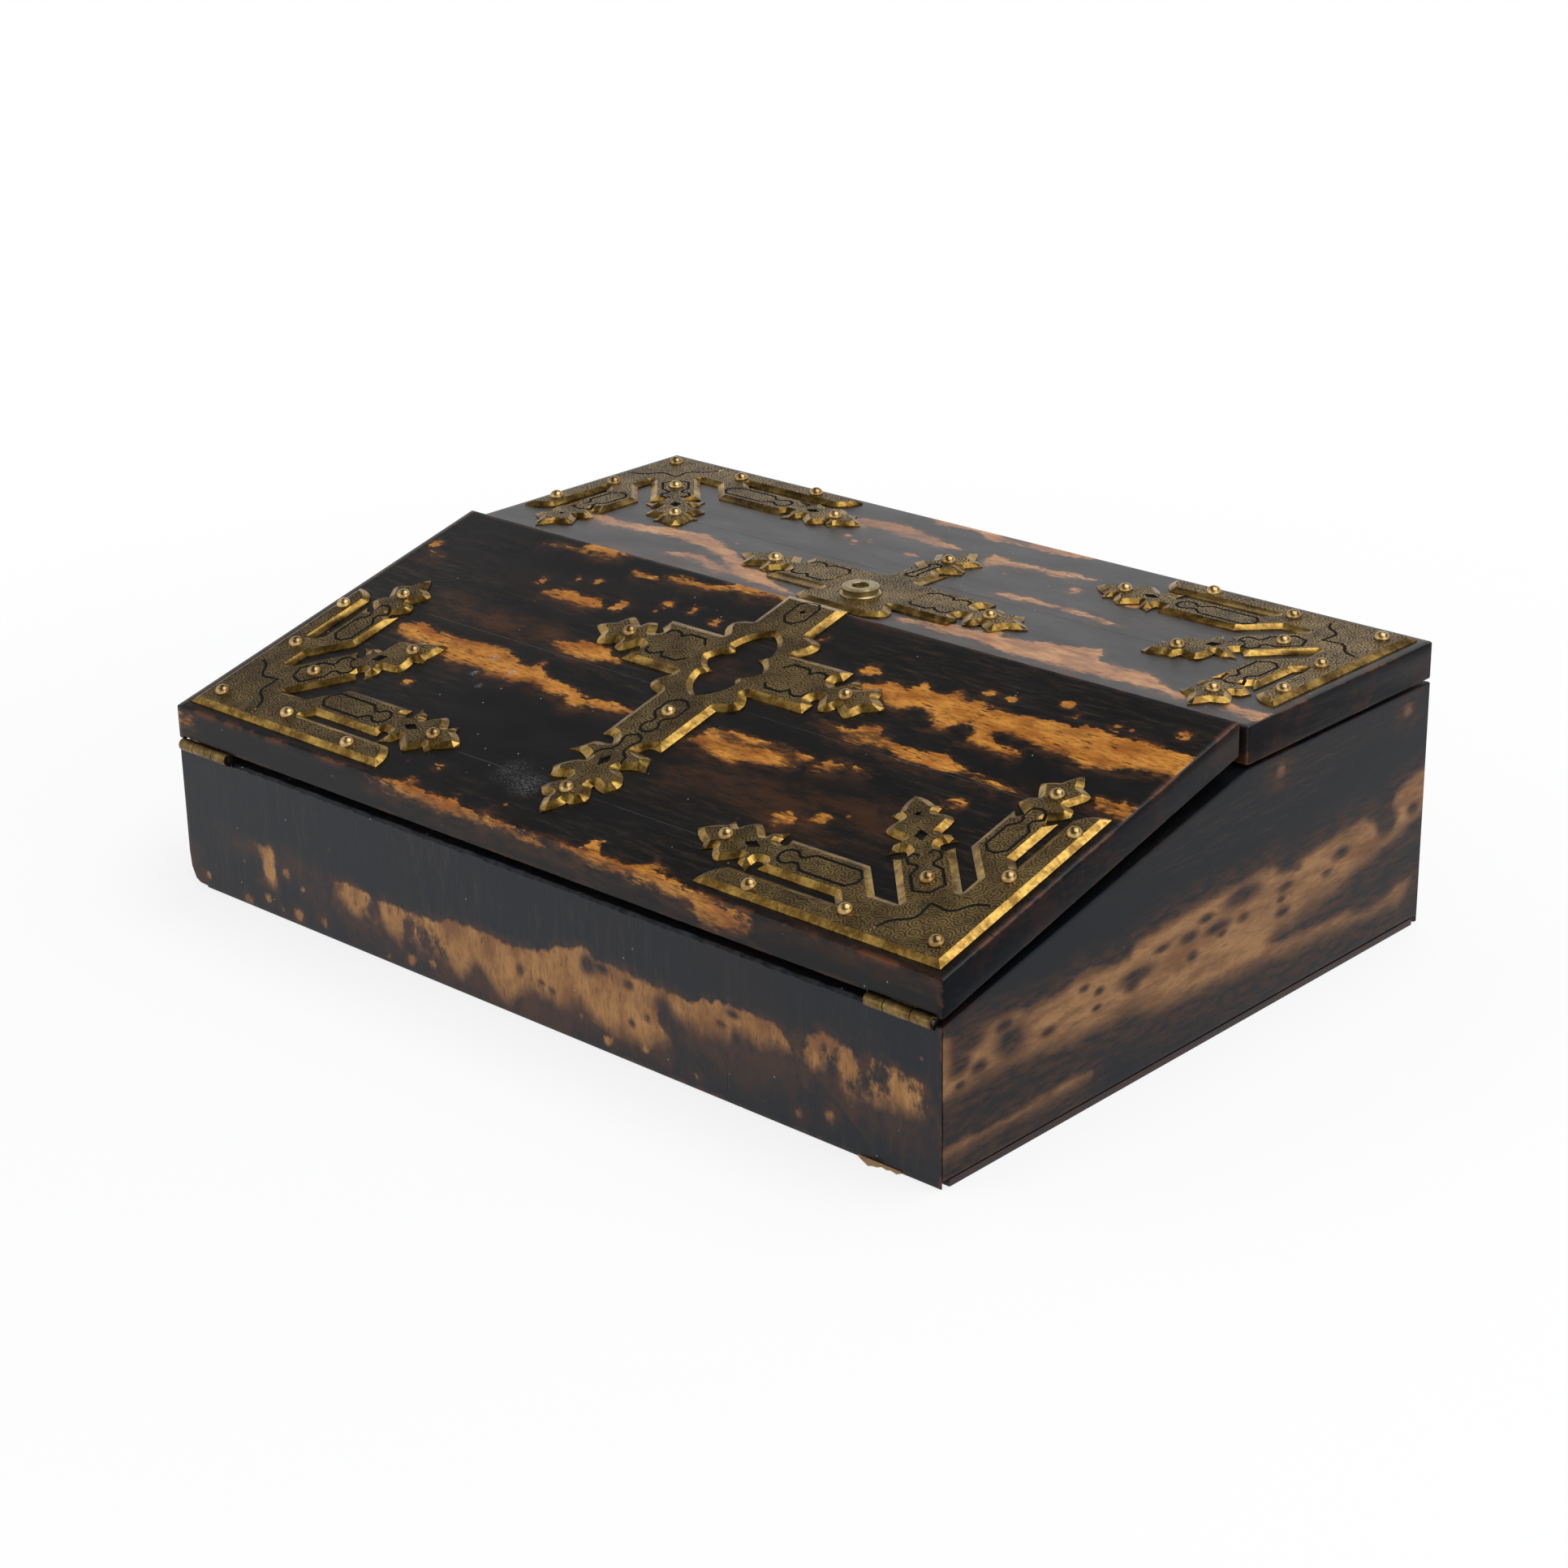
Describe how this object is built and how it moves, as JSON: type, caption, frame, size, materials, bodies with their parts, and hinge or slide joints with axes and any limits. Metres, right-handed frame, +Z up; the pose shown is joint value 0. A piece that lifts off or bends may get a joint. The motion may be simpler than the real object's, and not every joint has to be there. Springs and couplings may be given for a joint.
{
  "type": "writing box",
  "caption": "Sloping portable writing box in striped dark wood with Gothic brass mounts; the flap folds out as a writing slope, the rear lid lifts over ink and pens, and a key lock joins them.",
  "frame": {"origin": "On the table, under the middle of the box", "axes": "+X to the right along the front, +Y to the back, +Z up"},
  "size_m": [0.35, 0.2574, 0.1067],
  "materials": {
    "striped_wood": "polished near-black striped veneer",
    "base_wood": "dull red-brown",
    "inside_wood": "satin mahogany colour",
    "engraved_brass": "engraved, dark with age",
    "polished_brass": "worn bright",
    "steel": "dull",
    "green_leather": "smooth, dark green",
    "clear_glass": "clear"
  },
  "bodies": {
    "carcase": {"back_wall": "striped_wood", "base_board": "base_wood", "floor_board": "inside_wood", "front_hinge_left_fixed_leaf": "engraved_brass", "front_hinge_left_pin": "steel", "front_hinge_right_fixed_leaf": "engraved_brass", "front_hinge_right_pin": "steel", "front_wall": "striped_wood", "ink_bottle_left": "clear_glass", "ink_bottle_right": "clear_glass", "ink_cap_pin_left": "steel", "ink_cap_pin_right": "steel", "ink_collar_left": "engraved_brass", "ink_collar_right": "engraved_brass", "left_cross_divider": "inside_wood", "left_divider": "inside_wood", "left_wall": "striped_wood", "lock_keeper": "engraved_brass", "partition": "striped_wood", "pen_tray": "inside_wood", "rear_hinge_left_fixed_leaf": "engraved_brass", "rear_hinge_left_pin": "steel", "rear_hinge_right_fixed_leaf": "engraved_brass", "rear_hinge_right_pin": "steel", "right_cross_divider": "inside_wood", "right_divider": "inside_wood", "right_wall": "striped_wood"},
    "lid": {"lid_arm_stud_left": "polished_brass", "lid_arm_stud_right": "polished_brass", "lid_board": "striped_wood", "lid_cross_mount": "engraved_brass", "lid_left_corner_mount": "engraved_brass", "lid_rear_stud": "polished_brass", "lid_right_corner_mount": "engraved_brass", "lock_case": "engraved_brass", "lock_cover": "engraved_brass", "lock_nozzle": "polished_brass", "rear_hinge_left_moving_leaf": "engraved_brass", "rear_hinge_right_moving_leaf": "engraved_brass"},
    "flap": {"flap_arm_stud_left": "polished_brass", "flap_arm_stud_right": "polished_brass", "flap_board": "striped_wood", "flap_cross_mount": "engraved_brass", "flap_left_corner_mount": "engraved_brass", "flap_right_corner_mount": "engraved_brass", "flap_strap_stud": "polished_brass", "flap_tip_stud": "polished_brass", "front_hinge_left_moving_leaf": "engraved_brass", "front_hinge_right_moving_leaf": "engraved_brass", "writing_surface": "green_leather"},
    "lock_barrel": {"lock_barrel": "engraved_brass"},
    "lock_bolt": {"lock_bolt": "steel"},
    "ink_cap_left": {"ink_cap_left": "engraved_brass"},
    "ink_cap_right": {"ink_cap_right": "engraved_brass"}
  },
  "joints": [
    {"name": "lid_hinge", "type": "hinge", "parent": "carcase", "child": "lid", "pos_m": [0, 0.1265, 0.088], "axis": [-1, 0, 0], "range_deg": [0, 100]},
    {"name": "flap_hinge", "type": "hinge", "parent": "carcase", "child": "flap", "pos_m": [0, -0.1265, 0.05345], "axis": [1, 0, 0], "range_deg": [0, 178]},
    {"name": "lock_turn", "type": "hinge", "parent": "lid", "child": "lock_barrel", "pos_m": [0, 0.038, 0.1017], "axis": [0, 0, 1], "range_deg": [0, 180]},
    {"name": "bolt_slide", "type": "slide", "parent": "lid", "child": "lock_bolt", "axis": [0, -1, 0], "range_m": [0, 0.007]},
    {"name": "ink_cap_left_hinge", "type": "hinge", "parent": "carcase", "child": "ink_cap_left", "pos_m": [-0.1445, 0.0597, 0.04115], "axis": [-1, 0, 0], "range_deg": [0, 100]},
    {"name": "ink_cap_right_hinge", "type": "hinge", "parent": "carcase", "child": "ink_cap_right", "pos_m": [0.1445, 0.0597, 0.04115], "axis": [-1, 0, 0], "range_deg": [0, 100]}
  ],
  "couplings": [
    {"joint": "lock_turn", "follows": "bolt_slide", "rad_per_m": 448.7}
  ]
}
